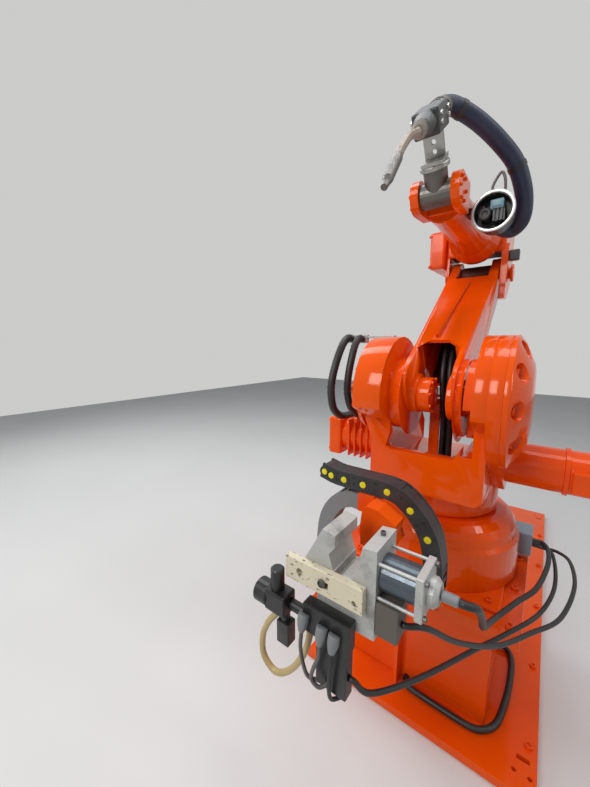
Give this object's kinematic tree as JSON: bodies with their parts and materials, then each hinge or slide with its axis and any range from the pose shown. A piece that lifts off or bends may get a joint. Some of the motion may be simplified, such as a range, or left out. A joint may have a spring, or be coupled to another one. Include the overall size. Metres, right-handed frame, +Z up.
{
  "type": "industrial welding robot arm",
  "caption": "Six-axis orange arc-welding robot arm with torch and hose package on a pedestal and flat travelling carriage plate, with a torch-cleaning station bolted to it.",
  "frame": {"origin": "centre of the turret's turning axis on the underside of the carriage plate", "axes": "+Z up, -Y the way the arm faces, Y along the carriage's travel, +X the arm's left as it faces the viewer"},
  "size_m": [1.035, 2.6668, 2.1251],
  "materials": {
    "carriage_plate": "gloss orange paint",
    "pedestal_box": "gloss orange paint",
    "pedestal_flange": "gloss orange paint",
    "robot_foot": "gloss orange paint",
    "base_drum": "gloss orange paint",
    "connector_box": "blue-grey",
    "station_bracket": "gloss orange paint",
    "station_casting": "rough cast aluminium",
    "station_face_bar": "cream, worn",
    "station_cylinder": "blue-grey",
    "station_end_plate": "rough cast aluminium",
    "station_gland": "dark grey",
    "station_block": "brown-grey",
    "station_valves": "matt black",
    "air_regulator": "matt black",
    "station_cable_1": "matt black rubber",
    "station_cable_2": "matt black rubber",
    "station_cable_3": "matt black rubber",
    "air_tube": "yellowed clear tubing",
    "plate_hose": "matt black rubber",
    "energy_chain": "matt black",
    "energy_chain_return": "matt black",
    "chain_guide": "gloss orange paint",
    "turret_yoke": "gloss orange paint",
    "harness_bracket": "gloss orange paint",
    "right_gear_cover": "gloss orange paint",
    "left_gear_cover": "gloss orange paint",
    "left_motor": "gloss orange paint",
    "right_motor": "gloss orange paint",
    "hose_clamp": "bright machined steel",
    "motor_hose_1": "matt black rubber",
    "motor_hose_2": "matt black rubber",
    "harness_lower": "matt black rubber",
    "lower_arm": "gloss orange paint",
    "right_hub_ring": "gloss orange paint",
    "harness_upper": "matt black rubber",
    "elbow_pin": "gloss orange paint",
    "elbow_casting": "gloss orange paint",
    "upper_arm_tube": "gloss orange paint",
    "elbow_cover_box": "gloss orange paint",
    "wrist_motor_1": "gloss orange paint",
    "wrist_motor_2": "gloss orange paint",
    "wrist_motor_3": "gloss orange paint",
    "drive_unit_shell": "matt black",
    "drive_unit_motor": "bright machined steel",
    "hose_gland": "dark grey",
    "torch_hose_arm": "dark navy woven sleeve",
    "wrist_fork": "gloss orange paint",
    "torch_hose_wrist": "dark navy woven sleeve",
    "tilt_housing": "gloss orange paint",
    "tool_flange": "bright machined steel",
    "torch_bracket": "bright machined steel",
    "torch_holder": "dark grey",
    "torch_collar": "cream, worn",
    "torch_neck": "cream, worn",
    "torch_nozzle": "spattered steel",
    "torch_hose_tool": "dark navy woven sleeve"
  },
  "bodies": {
    "carriage": {"carriage_plate": "carriage_plate", "pedestal_box": "pedestal_box", "pedestal_flange": "pedestal_flange", "robot_foot": "robot_foot", "base_drum": "base_drum", "connector_box": "connector_box", "station_bracket": "station_bracket", "station_casting": "station_casting", "station_face_bar": "station_face_bar", "station_cylinder": "station_cylinder", "station_end_plate": "station_end_plate", "station_gland": "station_gland", "station_block": "station_block", "station_valves": "station_valves", "air_regulator": "air_regulator", "station_cable_1": "station_cable_1", "station_cable_2": "station_cable_2", "station_cable_3": "station_cable_3", "air_tube": "air_tube", "plate_hose": "plate_hose", "energy_chain": "energy_chain", "energy_chain_return": "energy_chain_return", "chain_guide": "chain_guide"},
    "turret": {"turret_yoke": "turret_yoke", "harness_bracket": "harness_bracket", "right_gear_cover": "right_gear_cover", "left_gear_cover": "left_gear_cover", "left_motor": "left_motor", "right_motor": "right_motor", "hose_clamp": "hose_clamp", "motor_hose_1": "motor_hose_1", "motor_hose_2": "motor_hose_2", "harness_lower": "harness_lower"},
    "lower_arm": {"lower_arm": "lower_arm", "right_hub_ring": "right_hub_ring", "harness_upper": "harness_upper"},
    "elbow_link": {"elbow_pin": "elbow_pin"},
    "upper_arm": {"elbow_casting": "elbow_casting", "upper_arm_tube": "upper_arm_tube", "elbow_cover_box": "elbow_cover_box", "wrist_motor_1": "wrist_motor_1", "wrist_motor_2": "wrist_motor_2", "wrist_motor_3": "wrist_motor_3", "drive_unit_shell": "drive_unit_shell", "drive_unit_motor": "drive_unit_motor", "hose_gland": "hose_gland", "torch_hose_arm": "torch_hose_arm"},
    "wrist": {"wrist_fork": "wrist_fork", "torch_hose_wrist": "torch_hose_wrist"},
    "tilt": {"tilt_housing": "tilt_housing"},
    "tool": {"tool_flange": "tool_flange", "torch_bracket": "torch_bracket", "torch_holder": "torch_holder", "torch_collar": "torch_collar", "torch_neck": "torch_neck", "torch_nozzle": "torch_nozzle", "torch_hose_tool": "torch_hose_tool"}
  },
  "joints": [
    {"name": "axis_1_turn", "type": "hinge", "parent": "carriage", "child": "turret", "pos_m": [0, 0, 0.74], "axis": [0, 0, 1], "range_deg": [-165, 165]},
    {"name": "axis_2_shoulder", "type": "hinge", "parent": "turret", "child": "lower_arm", "pos_m": [0, -0.2, 1.19], "axis": [1, 0, 0], "range_deg": [-15, 149]},
    {"name": "elbow_parallel_guide", "type": "hinge", "parent": "lower_arm", "child": "elbow_link", "pos_m": [0, 0.51878, 1.7046], "axis": [1, 0, 0], "range_deg": [-149.5, 15.5]},
    {"name": "axis_3_elbow", "type": "hinge", "parent": "elbow_link", "child": "upper_arm", "pos_m": [0, 0.51878, 1.7046], "axis": [1, 0, 0], "range_deg": [-58, 20]},
    {"name": "axis_4_roll", "type": "hinge", "parent": "upper_arm", "child": "wrist", "pos_m": [0, -0.24983, 1.83185], "axis": [0, -0.9996, -0.0297], "range_deg": [-100, 100], "deforming": ["torch_hose_arm", "torch_hose_wrist", "torch_hose_tool"]},
    {"name": "axis_5_tilt", "type": "hinge", "parent": "wrist", "child": "tilt", "pos_m": [0, -0.24983, 1.83185], "axis": [1, 0, 0], "range_deg": [-50, 70], "deforming": ["torch_hose_wrist", "torch_hose_tool"]},
    {"name": "axis_6_tool", "type": "hinge", "parent": "tilt", "child": "tool", "pos_m": [0, -0.24983, 1.83185], "axis": [0, -0.6157, 0.788], "range_deg": [-100, 100], "deforming": ["torch_hose_wrist", "torch_hose_tool"]}
  ],
  "couplings": [
    {"joint": "elbow_parallel_guide", "follows": "axis_2_shoulder", "ratio": -1}
  ]
}
